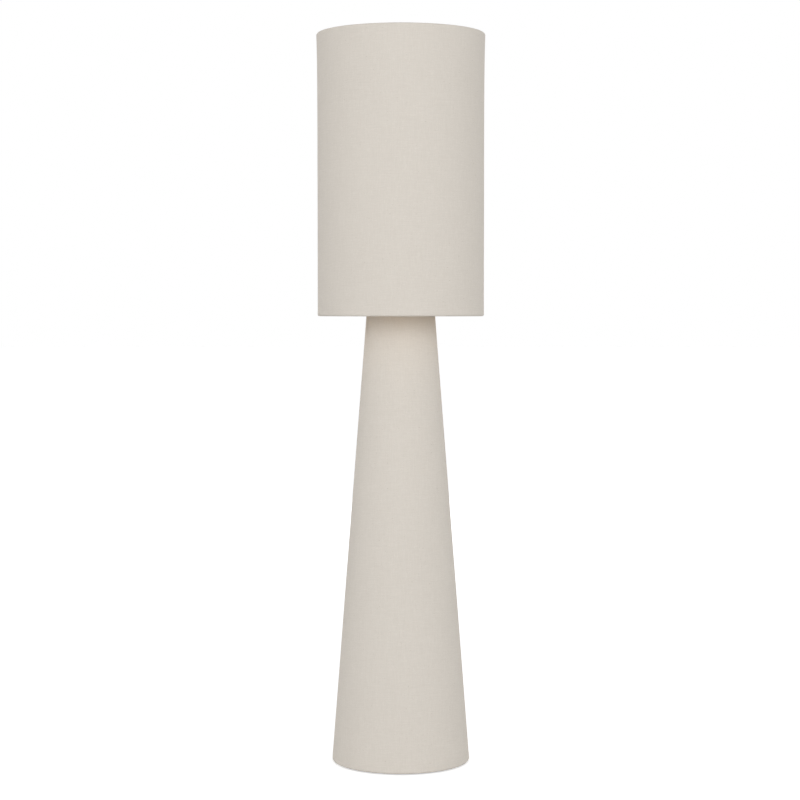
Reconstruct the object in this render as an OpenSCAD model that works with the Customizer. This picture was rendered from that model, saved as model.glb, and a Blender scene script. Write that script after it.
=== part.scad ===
// Column floor lamp: a tall linen drum shade over a tapered linen column.
// Millimetres, +Z up, origin on the floor under the middle of the column.
// The front faces -Y; the cloth seams and the cord outlet are at the back, +Y.

/* [Overall] */
// Height of the lamp, from the floor to the top edge of the shade
lamp_h = 1300; // [1250:5:1330]
// Height of the shade
shade_h = 500; // [480:5:540]
// Shade diameter over the linen, below the flare
shade_d = 296.5; // [270:0.5:340]
// How far the top hoop stretches the linen outwards, on the radius
shade_flare = 1.9; // [0:0.1:4]
// Height over which that flare dies away
flare_l = 45; // [20:5:90]
// How far the column reaches up inside the shade
column_in = 40; // [25:5:70]
// Column diameter over the linen, at its bottom edge
column_base_d = 247; // [236:1:280]
// Column diameter over the linen, at its top edge
column_top_d = 117; // [100:1:140]

/* [Linen and liner] */
// Thickness of the linen
linen_t = 0.7; // [0.5:0.1:1.2]
// Thickness of the stiff liner that the linen is glued to
liner_t = 0.9; // [0.6:0.1:1.6]
// Thickness of the glue between linen and liner
glue_t = 0.2; // [0.15:0.05:0.4]
// Height of the linen's turned-in edge inside each hoop
hem_h = 4; // [3:0.5:10]

/* [Wire frame] */
// Wire diameter of the hoops
hoop_d = 4; // [3.5:0.5:6]
// Wire diameter of the shade's arms
arm_d = 3.5; // [3:0.5:4]
// Number of arms
arm_n = 3; // [3:1:4]
// Bend radius of the arms, at the wire's middle
arm_bend_r = 14; // [8:1:20]
// Diameter of the hub that the arms meet in
hub_d = 64; // [62:1:76]
// Hole in the hub, for the lampholder's sleeve
hub_hole_d = 42; // [41:0.5:44]
// Thickness of the hub
hub_t = 2.5; // [1.5:0.5:4]
// Wire diameter of the column's struts
strut_d = 3.5; // [3:0.5:4]
// Number of struts
strut_n = 4; // [3:1:8]

/* [Base] */
// Gap between the iron base plate and the column's turned edge
plate_gap = 5; // [2:0.5:20]
// Thickness of the iron base plate
plate_t = 18; // [14:1:24]
// Chamfer on the base plate's edges
plate_chamfer = 1.5; // [0.5:0.5:3]
// Thickness of the rubber floor pads
pad_t = 2; // [1:0.5:4]
// Diameter of the floor pads
pad_d = 24; // [16:1:34]
// Number of floor pads
pad_n = 4; // [3:1:6]
// How far the floor pads stand in from the base plate's edge
pad_inset = 8; // [4:1:20]

/* [Frame feet] */
// Width of the tabs that hold the struts on the base plate
tab_w = 10; // [8.5:0.5:14]
// Thickness of those tabs
tab_t = 2; // [1.5:0.5:3]
// How far those tabs reach past the middle of their screws
tab_end = 8; // [5:0.5:14]
// How far the tab screws stand in from the base plate's edge
tab_screw_inset = 8; // [7:0.5:10]

/* [Stem] */
// Outer diameter of the steel stem
stem_d = 22; // [20:0.5:26]
// Wall of the stem
stem_wall = 1.5; // [1:0.5:2]
// Diameter of the flange at the stem's foot
flange_d = 58; // [54:1:64]
// Thickness of that flange
flange_t = 5; // [4:0.5:5]
// Number of screws in the flange
flange_screw_n = 4; // [3:1:6]
// Diameter of the flange's screw circle
flange_pcd = 41; // [39:0.5:43]
// Length of the threaded plug in the stem's top
plug_l = 25; // [20:1:40]
// Outside diameter of the threaded tube
thread_d = 10; // [8.5:0.5:11]
// Bore of the threaded tube
thread_bore_d = 7; // [6:0.5:7.5]
// Thickness of the column's top plate
top_plate_t = 3; // [2:0.5:5]
// How far the top plate stops short of the column's outside
top_plate_inset = 1.5; // [0.5:0.5:3]
// Length of the neck between the top plate and the lampholder
neck_h = 62; // [50:1:75]
// Diameter of the neck
neck_d = 16; // [14:0.5:18]

/* [Screws] */
// Shank diameter of the flange and tab screws
screw_d = 5; // [4:0.5:5]
// Head diameter of those screws
screw_head_d = 8.5; // [7.5:0.5:9]
// Head height of those screws
screw_head_t = 3; // [2:0.5:4]
// Length of thread in the base plate
screw_grip = 10; // [6:0.5:11]
// Shank diameter of the terminal block's screws
block_screw_d = 3; // [2.5:0.5:3.5]

/* [Cord way] */
// Height of the cord outlet above the floor
outlet_z = 42; // [36:1:60]
// Bore of the rubber grommet in the outlet
outlet_bore_d = 7.2; // [6:0.2:8]
// Diameter of the grommet where it passes the column's wall
outlet_body_d = 12; // [11:0.5:14]
// Diameter of the grommet's two lips
outlet_lip_d = 17; // [16:0.5:20]
// Thickness of each lip
outlet_lip_t = 1.8; // [1.2:0.2:2]
// Diameter of the lead inside the lamp
lead_d = 5; // [4:0.5:5.5]
// Bend radius of that lead inside the stem, at its middle
lead_bend_r = 7; // [6:0.5:8]
// Wall of the rubber bush where the lead enters the stem
bush_wall = 1.2; // [1:0.1:1.6]
// How far that bush's lip stands out all round
bush_lip = 1; // [0.6:0.2:1.4]
// Distance between the terminal block's ways
way_pitch = 7.5; // [6:0.5:9]
// Width of the terminal block's foot at each side
block_foot_w = 9; // [7:0.5:12]
// Depth of the terminal block, front to back
block_d = 18; // [16:1:24]
// Height of the terminal block
block_h = 19; // [17:1:24]
// Distance of the terminal block's front from the stem's middle
block_y = 48; // [44:1:58]

/* [Lampholder] */
// Height of the lampholder's cap
cap_h = 22; // [20:1:26]
// Outside diameter of the cap
cap_d = 39; // [38.5:0.5:42]
// Wall of the cap and the sleeve
holder_wall = 2.2; // [1.8:0.1:2.3]
// Outside diameter of the sleeve that the shade rings screw on
sleeve_d = 39.5; // [39:0.5:40.5]
// Height of the sleeve above the cap
sleeve_h = 38; // [36:1:42]
// Length of the sleeve's spigot inside the cap
spigot_h = 6; // [4:0.5:8]
// Outside diameter of the two shade rings
ring_d = 56; // [52:1:60]
// Height of each shade ring
ring_h = 7; // [5:0.5:8]
// Height of the lower shade ring above the cap
ring_gap = 8; // [4:1:10]
// Number of finger flutes round each shade ring
ring_flute_n = 24; // [12:1:36]
// Diameter of each flute
ring_flute_d = 3; // [2:0.5:4]
// Height of the ceramic core
core_h = 14; // [10:1:16]
// Wall of the screw shell
shell_wall = 0.5; // [0.4:0.1:0.8]

/* [Bulb] */
// Outside diameter of the bulb's screw cap
bulb_cap_d = 26.4; // [26:0.1:26.6]
// Height of the screw cap
bulb_cap_h = 21.5; // [20:0.5:23]
// Diameter of the bulb's globe
bulb_d = 60; // [50:1:70]
// Overall height of the bulb
bulb_h = 110; // [104:1:122]
// Wall of the globe
globe_wall = 1.2; // [0.8:0.1:2]
// Diameter of the globe's opening, where the housing meets it
globe_mouth_d = 44; // [38:1:48]
// Wall of the housing under the globe
housing_wall = 1.6; // [1.2:0.2:2.4]
// Wall of the screw cap
bulb_cap_wall = 0.5; // [0.4:0.1:0.8]
// Diameter of the centre contact
contact_d = 9.6; // [8:0.2:10]
// Height of the centre contact
contact_h = 2; // [1.5:0.5:3]
// Height of the black insulator
insulator_h = 4; // [3:0.5:5]

/* [Fits] */
// Gap on the radius between fixed pieces that slide together
slip = 0.1; // [0.05:0.05:0.2]
// Gap between pieces that move on each other
run = 0.3; // [0.2:0.05:0.4]

/* [Hidden] */
$fn = 96;

// Colours
linen_c = [0.84, 0.82, 0.79];
liner_c = [0.93, 0.92, 0.9];
paint_c = [0.9, 0.89, 0.86];
iron_c = [0.23, 0.23, 0.24];
steel_c = [0.66, 0.66, 0.67];
rubber_c = [0.12, 0.12, 0.12];
holder_c = [0.93, 0.93, 0.91];
ceramic_c = [0.9, 0.88, 0.84];
brass_c = [0.78, 0.63, 0.32];
opal_c = [0.95, 0.95, 0.93];

// The turned edge: the linen goes round the hoop and the liner's end in one half circle
turn_in_r = (hoop_d + liner_t + glue_t + 2*slip)/2;
turn_r = turn_in_r + linen_t;
// From the linen's outside to the middle of a hoop, and to the liner's inside
wire_in = linen_t + glue_t + liner_t + slip + hoop_d/2;
wall_in = linen_t + glue_t + liner_t;
turn_steps = 8;

// Shade
shade_z = lamp_h - shade_h;
flare_steps = 12;
function shade_r(z) = shade_d/2 + shade_flare*exp((z - lamp_h)/flare_l);

// Column
column_h = shade_z + column_in;
column_z = pad_t;
column_edge_z = column_h - top_plate_t;
function column_r(z) = (column_base_d
    + (column_top_d - column_base_d)*(z - column_z)/(column_edge_z - column_z))/2;

// Base
plate_d = column_base_d - 2*(2*turn_r + plate_gap);
plate_z = pad_t;
plate_top = plate_z + plate_t;
pad_at = plate_d/2 - pad_inset - pad_d/2;
tab_screw_r = plate_d/2 - tab_screw_inset;

// Stem
stem_in_d = stem_d - 2*stem_wall;

// Lead inside the lamp: its bush sits just above the stem's flange
bush_bore_d = lead_d + 2*slip;
bush_d = bush_bore_d + 2*bush_wall;
bush_lip_d = bush_d + 2*bush_lip;
bush_lip_t = 1.2;
lead_z = plate_top + flange_t + bush_lip_d/2 + slip;
lead_rise_z = lead_z + lead_bend_r;
lead_socket = 4;

// Terminal block: three ways, and a foot at each side with a screw
block_body_w = 3*way_pitch;
block_w = block_body_w + 2*block_foot_w;
way_mouth_d = 3.6;
way_clamp_d = 3.2;
block_foot_h = 4;
block_screw_grip = 8;
block_screw_head_t = 2;

// Lampholder, on the neck
holder_z = column_h + neck_h;
sleeve_z = holder_z + cap_h;
sleeve_top = sleeve_z + sleeve_h;
ring_z = sleeve_z + ring_gap;
hub_z = ring_z + ring_h + run;
upper_ring_z = hub_z + hub_t + run;
arm_z = hub_z + hub_t/2;
cap_floor = 8;
cap_boss_h = 5;
cap_shoulder_z = 12;
cap_soft = 6;
cap_cone = 4.5;
boss_soft = 0.8;
spigot_d = cap_d - 2*holder_wall - 2*slip;
sleeve_in_d = spigot_d - 2*holder_wall;
thread_pitch = 2;
thread_depth = 0.5;
thread_runout = 2;
sleeve_lip_h = 2;
core_z = sleeve_z - spigot_h;
core_top = core_z + core_h;
shell_in_d = bulb_cap_d + 2*run;
shell_d = shell_in_d + 2*shell_wall;
shell_top = sleeve_top - 2*sleeve_lip_h;
shell_hole_d = contact_d + 4;
leaf_t = 0.5;
leaf_w = 5;
leaf_l = 11;
leaf_rise = 1.5;

// Bulb, with its contact just over the spring leaf
bulb_z = core_top + leaf_rise + run;
insulator_z = bulb_z + contact_h;
bulb_cap_z = insulator_z + insulator_h;
bulb_cap_top = bulb_cap_z + bulb_cap_h;
bulb_top = bulb_z + bulb_h;
globe_z = bulb_top - bulb_d/2;
mouth_z = globe_z - sqrt(pow(bulb_d/2, 2) - pow(globe_mouth_d/2, 2));

// ---- Shared shapes ----

function arc(c, r, from, to, n) = [for (i = [0:n])
    let (a = from + (to - from)*i/n) [c[0] + r*cos(a), c[1] + r*sin(a)]];

function inwards(line, by) = [for (p = line) [p[0] - by, p[1]]];

function reversed(line) = [for (i = [len(line) - 1:-1:0]) line[i]];

// A ring of square section, from inner to outer diameter
module tube(d, bore, h) {
    difference() {
        cylinder(d = d, h = h);
        translate([0, 0, -1]) cylinder(d = bore, h = h + 2);
    }
}

module hoop(r, z, d) {
    translate([0, 0, z]) rotate_extrude() translate([r, 0]) circle(d = d, $fn = 32);
}

module round_array(n, turn = 0) {
    for (i = [0:n - 1]) rotate([0, 0, turn + 360*i/n]) children();
}

// Copies round the middle that leave the back free, where the cord comes in
module array_off_back(n) {
    round_array(n, 90 + 180/n) children();
}

// Linen over a wall whose outside runs through the given points, with both edges turned in
module linen_sleeve(outside) {
    low = [outside[0][0] - turn_r, outside[0][1]];
    high = [outside[len(outside) - 1][0] - turn_r, outside[len(outside) - 1][1]];
    rotate_extrude($fn = 180) polygon(concat(
        [[low[0] - turn_r, low[1] + hem_h]],
        arc(low, turn_r, 180, 360, turn_steps),
        [for (i = [1:1:len(outside) - 2]) outside[i]],
        arc(high, turn_r, 0, 180, turn_steps),
        [[high[0] - turn_r, high[1] - hem_h], [high[0] - turn_in_r, high[1] - hem_h]],
        arc(high, turn_in_r, 180, 0, turn_steps),
        [for (i = [len(outside) - 2:-1:1]) [outside[i][0] - linen_t, outside[i][1]]],
        arc(low, turn_in_r, 360, 180, turn_steps),
        [[low[0] - turn_in_r, low[1] + hem_h]]));
}

// The stiff liner behind that linen
module liner_sleeve(outside) {
    rotate_extrude($fn = 180) polygon(concat(
        inwards(outside, linen_t + glue_t),
        reversed(inwards(outside, wall_in))));
}

shade_low_z = shade_z + turn_r;
shade_high_z = lamp_h - turn_r;
shade_wall = [for (i = [0:flare_steps])
    let (z = shade_high_z - (shade_high_z - shade_low_z)*pow(1 - i/flare_steps, 2)) [shade_r(z), z]];

column_low_z = column_z + turn_r;
column_high_z = column_edge_z - turn_r;
column_wall = [for (z = [column_low_z, column_high_z]) [column_r(z), z]];

// ---- Base ----

module floor_pads() {
    color(rubber_c) array_off_back(pad_n) translate([pad_at, 0, 0]) cylinder(d = pad_d, h = pad_t);
}

module base_plate() {
    c = plate_chamfer;
    color(iron_c) difference() {
        translate([0, 0, plate_z]) rotate_extrude() polygon([[0, 0], [plate_d/2 - c, 0], [plate_d/2, c],
            [plate_d/2, plate_t - c], [plate_d/2 - c, plate_t], [0, plate_t]]);
        array_off_back(flange_screw_n) translate([flange_pcd/2, 0, 0]) screw_hole(screw_d, screw_grip);
        array_off_back(strut_n) translate([tab_screw_r, 0, 0]) screw_hole(screw_d, screw_grip);
        block_screw_places() screw_hole(block_screw_d, block_screw_grip);
    }
}

module screw_hole(d, grip) {
    translate([0, 0, plate_top - grip - 1]) cylinder(d = d + 2*slip, h = grip + 2);
}

// A cheese-headed screw whose head sits at height z, with a hexagon socket
module screw(d, head_d, head_t, z, length) {
    socket_d = d*0.9;
    translate([0, 0, z]) difference() {
        union() {
            cylinder(d = head_d, h = head_t);
            translate([0, 0, -length]) cylinder(d = d, h = length + head_t/2);
        }
        translate([0, 0, head_t/2]) cylinder(d = socket_d, h = head_t, $fn = 6);
    }
}

module stem_flange() {
    color(steel_c) translate([0, 0, plate_top]) difference() {
        tube(flange_d, stem_d + 2*slip, flange_t);
        array_off_back(flange_screw_n) translate([flange_pcd/2, 0, -1])
            cylinder(d = screw_d + 2*slip, h = flange_t + 2);
    }
}

module flange_screws() {
    color(steel_c) array_off_back(flange_screw_n) translate([flange_pcd/2, 0, 0])
        screw(screw_d, screw_head_d, screw_head_t, plate_top + flange_t, flange_t + screw_grip);
}

// ---- Stem and neck ----

module stem_tube() {
    color(steel_c) difference() {
        translate([0, 0, plate_top]) tube(stem_d, stem_in_d, column_edge_z - plate_top);
        translate([0, 0, lead_z]) rotate([-90, 0, 0]) cylinder(d = bush_d + 2*slip, h = stem_d);
    }
}

module stem_plug() {
    color(brass_c) translate([0, 0, column_edge_z - plug_l])
        tube(stem_in_d - 2*slip, thread_d + 2*slip, plug_l);
}

// Rubber bush in the stem's side, with a lip outside
module stem_bush() {
    inside_y = sqrt(pow(stem_in_d/2, 2) - pow(bush_d/2, 2));
    lip_y = stem_d/2 + slip;
    color(rubber_c) translate([0, 0, lead_z]) rotate([-90, 0, 0]) difference() {
        union() {
            translate([0, 0, inside_y]) cylinder(d = bush_d, h = lip_y + bush_lip_t - inside_y);
            translate([0, 0, lip_y]) cylinder(d = bush_lip_d, h = bush_lip_t);
        }
        cylinder(d = bush_bore_d, h = stem_d);
    }
}

module column_top_plate() {
    r = column_r(column_edge_z) - top_plate_inset;
    soft = 0.8;
    color(paint_c) translate([0, 0, column_edge_z]) difference() {
        rotate_extrude() polygon(concat(
            [[0, 0]],
            arc([r - soft, soft], soft, -90, 0, 4),
            arc([r - soft, top_plate_t - soft], soft, 0, 90, 4),
            [[0, top_plate_t]]));
        translate([0, 0, -1]) cylinder(d = thread_d + 2*slip, h = top_plate_t + 2);
    }
}

module threaded_tube() {
    low = column_edge_z - plug_l;
    color(brass_c) translate([0, 0, low]) tube(thread_d, thread_bore_d, holder_z + cap_floor - low);
}

module neck_tube() {
    color(paint_c) translate([0, 0, column_h]) tube(neck_d, thread_d + 2*slip, neck_h);
}

// ---- Column ----

module column_bottom_hoop() {
    color(steel_c) hoop(column_r(column_low_z) - wire_in, column_low_z, hoop_d);
}

module column_top_hoop() {
    color(steel_c) hoop(column_r(column_high_z) - wire_in, column_high_z, hoop_d);
}

// Each strut leans with the column and is welded to both hoops; its tab is screwed to the base plate
module column_struts() {
    foot = [column_r(column_low_z) - wire_in, column_low_z + hoop_d/2];
    head = [column_r(column_high_z) - wire_in, column_high_z - hoop_d/2];
    reach = head - foot;
    tab_in = tab_screw_r - tab_end;
    tab_out = column_r(plate_top) - wire_in;
    color(steel_c) array_off_back(strut_n) difference() {
        union() {
            translate([foot[0], 0, foot[1]]) rotate([0, atan2(reach[0], reach[1]), 0])
                cylinder(d = strut_d, h = norm(reach), $fn = 32);
            translate([tab_in, -tab_w/2, plate_top]) cube([tab_out - tab_in, tab_w, tab_t]);
        }
        translate([tab_screw_r, 0, plate_top - 1]) cylinder(d = screw_d + 2*slip, h = tab_t + 2);
    }
}

module strut_screws() {
    color(steel_c) array_off_back(strut_n) translate([tab_screw_r, 0, 0])
        screw(screw_d, screw_head_d, screw_head_t, plate_top + tab_t, tab_t + screw_grip);
}

module outlet_hole() {
    translate([0, 0, outlet_z]) rotate([-90, 0, 0])
        cylinder(d = outlet_body_d + 2*slip, h = column_base_d);
}

module column_liner() {
    color(liner_c) difference() {
        liner_sleeve(column_wall);
        outlet_hole();
    }
}

module column_linen() {
    color(linen_c) difference() {
        linen_sleeve(column_wall);
        outlet_hole();
    }
}

// ---- Cord way ----

// Rubber grommet, with a lip each side of the sloping, curved wall
module outlet_grommet() {
    lip_r = outlet_lip_d/2;
    body_r = outlet_body_d/2;
    low_r = column_r(outlet_z - lip_r);
    high_r = column_r(outlet_z + lip_r) - wall_in;
    inside_y = sqrt(pow(high_r, 2) - pow(lip_r, 2)) - slip;
    outside_y = low_r + slip;
    soft = outlet_lip_t/2;
    color(rubber_c) translate([0, 0, outlet_z]) rotate([-90, 0, 0]) rotate_extrude() polygon(concat(
        [[outlet_bore_d/2, inside_y - outlet_lip_t]],
        arc([lip_r - soft, inside_y - soft], soft, -90, 90, 6),
        [[body_r, inside_y], [body_r, outside_y]],
        arc([lip_r - soft, outside_y + soft], soft, -90, 90, 6),
        [[outlet_bore_d/2, outside_y + outlet_lip_t]]));
}

module block_screw_places() {
    for (side = [-1, 1])
        translate([side*(block_w - block_foot_w)/2, block_y + block_d/2, 0]) children();
}

// Three-way terminal block, with a wire mouth and a clamp hole for each way
module terminal_block() {
    color(holder_c) difference() {
        union() {
            translate([-block_w/2, block_y, plate_top]) cube([block_w, block_d, block_foot_h]);
            translate([-block_body_w/2, block_y, plate_top]) cube([block_body_w, block_d, block_h]);
        }
        block_screw_places() translate([0, 0, plate_top - 1])
            cylinder(d = block_screw_d + 2*slip, h = block_foot_h + 2);
        for (way = [-1:1]) translate([way*way_pitch, block_y, lead_z]) {
            translate([0, block_d/2, 0]) rotate([-90, 0, 0]) cylinder(d = way_mouth_d, h = block_d);
            translate([0, block_d*0.7, 0]) cylinder(d = way_clamp_d, h = block_h);
        }
    }
}

module terminal_screws() {
    head_d = 1.8*block_screw_d;
    color(steel_c) block_screw_places() screw(block_screw_d, head_d, block_screw_head_t,
        plate_top + block_foot_h, block_foot_h + block_screw_grip);
}

// The lead inside the lamp: from the terminal block, in at the stem's side, and up to the lampholder
module inner_lead() {
    top_z = core_z + lead_socket;
    color(holder_c) {
        translate([0, lead_bend_r, lead_z]) rotate([-90, 0, 0])
            cylinder(d = lead_d, h = block_y - lead_bend_r, $fn = 32);
        translate([0, lead_bend_r, lead_rise_z]) rotate([0, 90, 0]) rotate([0, 0, -90])
            rotate_extrude(angle = 90) translate([lead_bend_r, 0]) circle(d = lead_d, $fn = 32);
        translate([0, 0, lead_rise_z]) cylinder(d = lead_d, h = top_z - lead_rise_z, $fn = 32);
    }
}

// ---- Lampholder ----

module holder_cap() {
    boss_r = neck_d/2 + 1;
    r = cap_d/2;
    inner_r = r - holder_wall;
    color(holder_c) translate([0, 0, holder_z]) rotate_extrude() polygon(concat(
        [[thread_d/2 + slip, 0]],
        arc([boss_r - boss_soft, boss_soft], boss_soft, -90, 0, 4),
        [[boss_r, cap_boss_h]],
        arc([r - cap_soft, cap_shoulder_z], cap_soft, -40, 0, 6),
        [[r, cap_h], [inner_r, cap_h], [inner_r, cap_floor + cap_cone], [inner_r - cap_cone, cap_floor],
            [thread_d/2 + slip, cap_floor]]));
}

// The sleeve's thread is drawn as fine ridges between two plain ends
module holder_sleeve() {
    r = sleeve_d/2;
    root_r = r - thread_depth;
    ridge_n = floor((sleeve_h - 2*thread_runout)/thread_pitch);
    lip_r = shell_d/2 + run;
    color(holder_c) translate([0, 0, sleeve_z]) rotate_extrude() polygon(concat(
        [[sleeve_in_d/2, -spigot_h], [spigot_d/2, -spigot_h], [spigot_d/2, 0], [root_r, 0]],
        [for (i = [0:ridge_n - 1]) let (z = thread_runout + i*thread_pitch) each [[root_r, z],
            [r, z + 0.4*thread_pitch], [r, z + 0.6*thread_pitch]]],
        [[root_r, thread_runout + ridge_n*thread_pitch], [root_r, sleeve_h],
            [lip_r, sleeve_h], [lip_r, sleeve_h - sleeve_lip_h], [sleeve_in_d/2, sleeve_h - sleeve_lip_h]]));
}

module holder_core() {
    color(ceramic_c) difference() {
        translate([0, 0, core_z]) cylinder(d = sleeve_in_d - 2*slip, h = core_h);
        translate([0, 0, core_z - 1]) cylinder(d = lead_d + 2*slip, h = lead_socket + slip + 1);
    }
}

// Screw shell: a thin cup with a hole in its floor for the contact
module holder_screw_shell() {
    color(brass_c) translate([0, 0, core_top]) difference() {
        cylinder(d = shell_d, h = shell_top - core_top);
        translate([0, 0, shell_wall]) cylinder(d = shell_in_d, h = shell_top);
        translate([0, 0, -1]) cylinder(d = shell_hole_d, h = shell_wall + 2);
    }
}

// Spring leaf: a flat foot on the core, and a raised tip under the bulb's contact
module holder_contact() {
    foot = leaf_l*0.35;
    tip = leaf_l*0.3;
    color(brass_c) translate([-leaf_l/2, leaf_w/2, core_top]) rotate([90, 0, 0])
        linear_extrude(leaf_w) polygon([[0, 0], [foot, 0], [leaf_l - tip, leaf_rise - leaf_t],
            [leaf_l, leaf_rise - leaf_t], [leaf_l, leaf_rise], [leaf_l - tip, leaf_rise],
            [foot, leaf_t], [0, leaf_t]]);
}

// A finger-fluted ring that screws on the sleeve
module shade_ring(z) {
    soft = 1;
    r = ring_d/2;
    color(holder_c) translate([0, 0, z]) difference() {
        rotate_extrude() polygon([[sleeve_d/2 + slip, 0], [r - soft, 0], [r, soft], [r, ring_h - soft],
            [r - soft, ring_h], [sleeve_d/2 + slip, ring_h]]);
        round_array(ring_flute_n) translate([r + ring_flute_d/4, 0, -1])
            cylinder(d = ring_flute_d, h = ring_h + 2, $fn = 24);
    }
}

module lower_shade_ring() {
    shade_ring(ring_z);
}

module upper_shade_ring() {
    shade_ring(upper_ring_z);
}

// ---- Shade ----

module shade_hub() {
    color(paint_c) translate([0, 0, hub_z]) tube(hub_d, hub_hole_d, hub_t);
}

// Each arm runs out level from the hub, bends down, and stands on the bottom hoop
module shade_arms() {
    leg_r = shade_r(shade_low_z) - wire_in;
    leg_z = shade_low_z + hoop_d/2;
    bend_z = arm_z - arm_bend_r;
    color(paint_c) round_array(arm_n, 90) {
        translate([hub_d/2, 0, arm_z]) rotate([0, 90, 0])
            cylinder(d = arm_d, h = leg_r - arm_bend_r - hub_d/2, $fn = 32);
        translate([leg_r - arm_bend_r, 0, bend_z]) rotate([90, 0, 0])
            rotate_extrude(angle = 90) translate([arm_bend_r, 0]) circle(d = arm_d, $fn = 32);
        translate([leg_r, 0, leg_z]) cylinder(d = arm_d, h = bend_z - leg_z, $fn = 32);
    }
}

module shade_bottom_hoop() {
    color(paint_c) hoop(shade_r(shade_low_z) - wire_in, shade_low_z, hoop_d);
}

module shade_top_hoop() {
    color(paint_c) hoop(shade_r(shade_high_z) - wire_in, shade_high_z, hoop_d);
}

module shade_liner() {
    color(liner_c) liner_sleeve(shade_wall);
}

module shade_linen() {
    color(linen_c) linen_sleeve(shade_wall);
}

// ---- Bulb ----

module bulb_contact() {
    color(brass_c) translate([0, 0, bulb_z]) cylinder(d = contact_d, h = contact_h);
}

module bulb_insulator() {
    color(rubber_c) translate([0, 0, insulator_z])
        cylinder(d1 = contact_d + 1, d2 = bulb_cap_d - 6, h = insulator_h);
}

// The cap is a thin shell, coned in at its foot
module bulb_cap() {
    r = bulb_cap_d/2;
    cone = 3;
    w = bulb_cap_wall;
    color(steel_c) translate([0, 0, bulb_cap_z]) rotate_extrude() polygon([[0, 0], [r - cone, 0],
        [r, cone], [r, bulb_cap_h], [r - w, bulb_cap_h], [r - w, cone + w], [r - cone - w, w], [0, w]]);
}

// The housing has a spigot in the cap, and swells from there to the globe's mouth in one curve
module bulb_housing() {
    spigot_r = bulb_cap_d/2 - bulb_cap_wall - slip;
    low = bulb_cap_d/2 + 0.4;
    high = globe_mouth_d/2;
    steps = 10;
    swell = [for (i = [0:steps]) [low + (high - low)*pow(i/steps, 1.6),
        bulb_cap_top + (mouth_z - bulb_cap_top)*i/steps]];
    color(opal_c) rotate_extrude() polygon(concat(
        [[spigot_r, bulb_cap_top - bulb_cap_h/2], [spigot_r, bulb_cap_top]],
        swell,
        reversed(inwards(swell, housing_wall)),
        [[spigot_r - housing_wall, bulb_cap_top - bulb_cap_h/2]]));
}

module bulb_globe() {
    color(opal_c) difference() {
        translate([0, 0, globe_z]) sphere(d = bulb_d);
        translate([0, 0, globe_z]) sphere(d = bulb_d - 2*globe_wall);
        translate([0, 0, mouth_z - bulb_d]) cylinder(d = bulb_d, h = bulb_d);
    }
}

floor_pads();
base_plate();
stem_flange();
flange_screws();
stem_tube();
stem_plug();
stem_bush();
column_bottom_hoop();
column_top_hoop();
column_struts();
strut_screws();
column_liner();
column_linen();
column_top_plate();
outlet_grommet();
terminal_block();
terminal_screws();
inner_lead();
threaded_tube();
neck_tube();
holder_cap();
holder_sleeve();
holder_core();
holder_screw_shell();
holder_contact();
lower_shade_ring();
upper_shade_ring();
shade_hub();
shade_arms();
shade_bottom_hoop();
shade_top_hoop();
shade_liner();
shade_linen();
bulb_contact();
bulb_insulator();
bulb_cap();
bulb_housing();
bulb_globe();
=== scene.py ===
"""Column floor lamp: linen covers, finishes and studio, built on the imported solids."""
from math import atan2, ceil, cos, degrees, exp, hypot, pi, radians, sin, tau

import bmesh
import bpy
from bpy.props import FloatProperty, FloatVectorProperty, PointerProperty
from mathutils import Matrix, Vector, noise


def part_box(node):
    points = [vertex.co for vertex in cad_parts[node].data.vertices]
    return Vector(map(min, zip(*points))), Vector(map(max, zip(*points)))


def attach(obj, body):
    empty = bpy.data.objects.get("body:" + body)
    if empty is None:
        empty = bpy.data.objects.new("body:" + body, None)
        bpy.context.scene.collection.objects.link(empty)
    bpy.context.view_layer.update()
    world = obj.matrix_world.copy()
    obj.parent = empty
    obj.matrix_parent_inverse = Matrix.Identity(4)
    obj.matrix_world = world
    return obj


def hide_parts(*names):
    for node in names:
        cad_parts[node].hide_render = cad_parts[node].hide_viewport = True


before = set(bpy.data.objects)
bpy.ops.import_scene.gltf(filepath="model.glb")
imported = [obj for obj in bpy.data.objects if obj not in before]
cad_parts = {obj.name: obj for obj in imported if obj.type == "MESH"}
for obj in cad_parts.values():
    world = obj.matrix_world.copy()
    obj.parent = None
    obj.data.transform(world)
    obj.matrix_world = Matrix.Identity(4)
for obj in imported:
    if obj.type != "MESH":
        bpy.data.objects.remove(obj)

bl_info = {
    "name": "Column Floor Lamp",
    "version": (1, 0, 0),
    "blender": (4, 5, 0),
    "location": "3D View > Sidebar > Lamp",
    "description": "Linen covers, finishes and studio for a column floor lamp",
    "category": "Add Mesh",
}

MM = 0.001
UP = Vector((0, 0, 1))
SHADE_LOW, SHADE_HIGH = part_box("shade_linen")
COLUMN_LOW, COLUMN_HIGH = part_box("column_linen")

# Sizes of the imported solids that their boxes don't give
EDGE_ROLL = 3.35*MM             # radius of the linen's rolled edges
WALL = 1.8*MM                   # linen, glue and liner together
COLUMN_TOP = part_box("column_top_plate")[1].x + 1.5*MM   # radius over the linen at the top
OUTLET_HOLE = 6.1*MM            # radius
ARMS, ARM_WIRE = 3, 1.75*MM     # count and wire radius
HUB_BORE, RING_BORE = 21*MM, 19.85*MM
FLUTES, FLUTE_DEPTH = 24, 0.9*MM
SLEEVE_BORE, SLEEVE_LIP = 15*MM, 2*MM
SPIGOT_RADIUS, SPIGOT_HEIGHT = 17.2*MM, 6*MM
SLEEVE_PITCH, SLEEVE_THREAD, SLEEVE_RUNOUT = 2*MM, 0.5*MM, 2*MM
E27_PITCH, E27_THREAD = 3.629*MM, 1.0*MM
CAP_WALL, CAP_INSIDE = 0.5*MM, 12.6*MM
GLOBE_MOUTH, GLOBE_WALL, HOUSING_WALL = 22*MM, 1.2*MM, 1.6*MM
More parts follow.
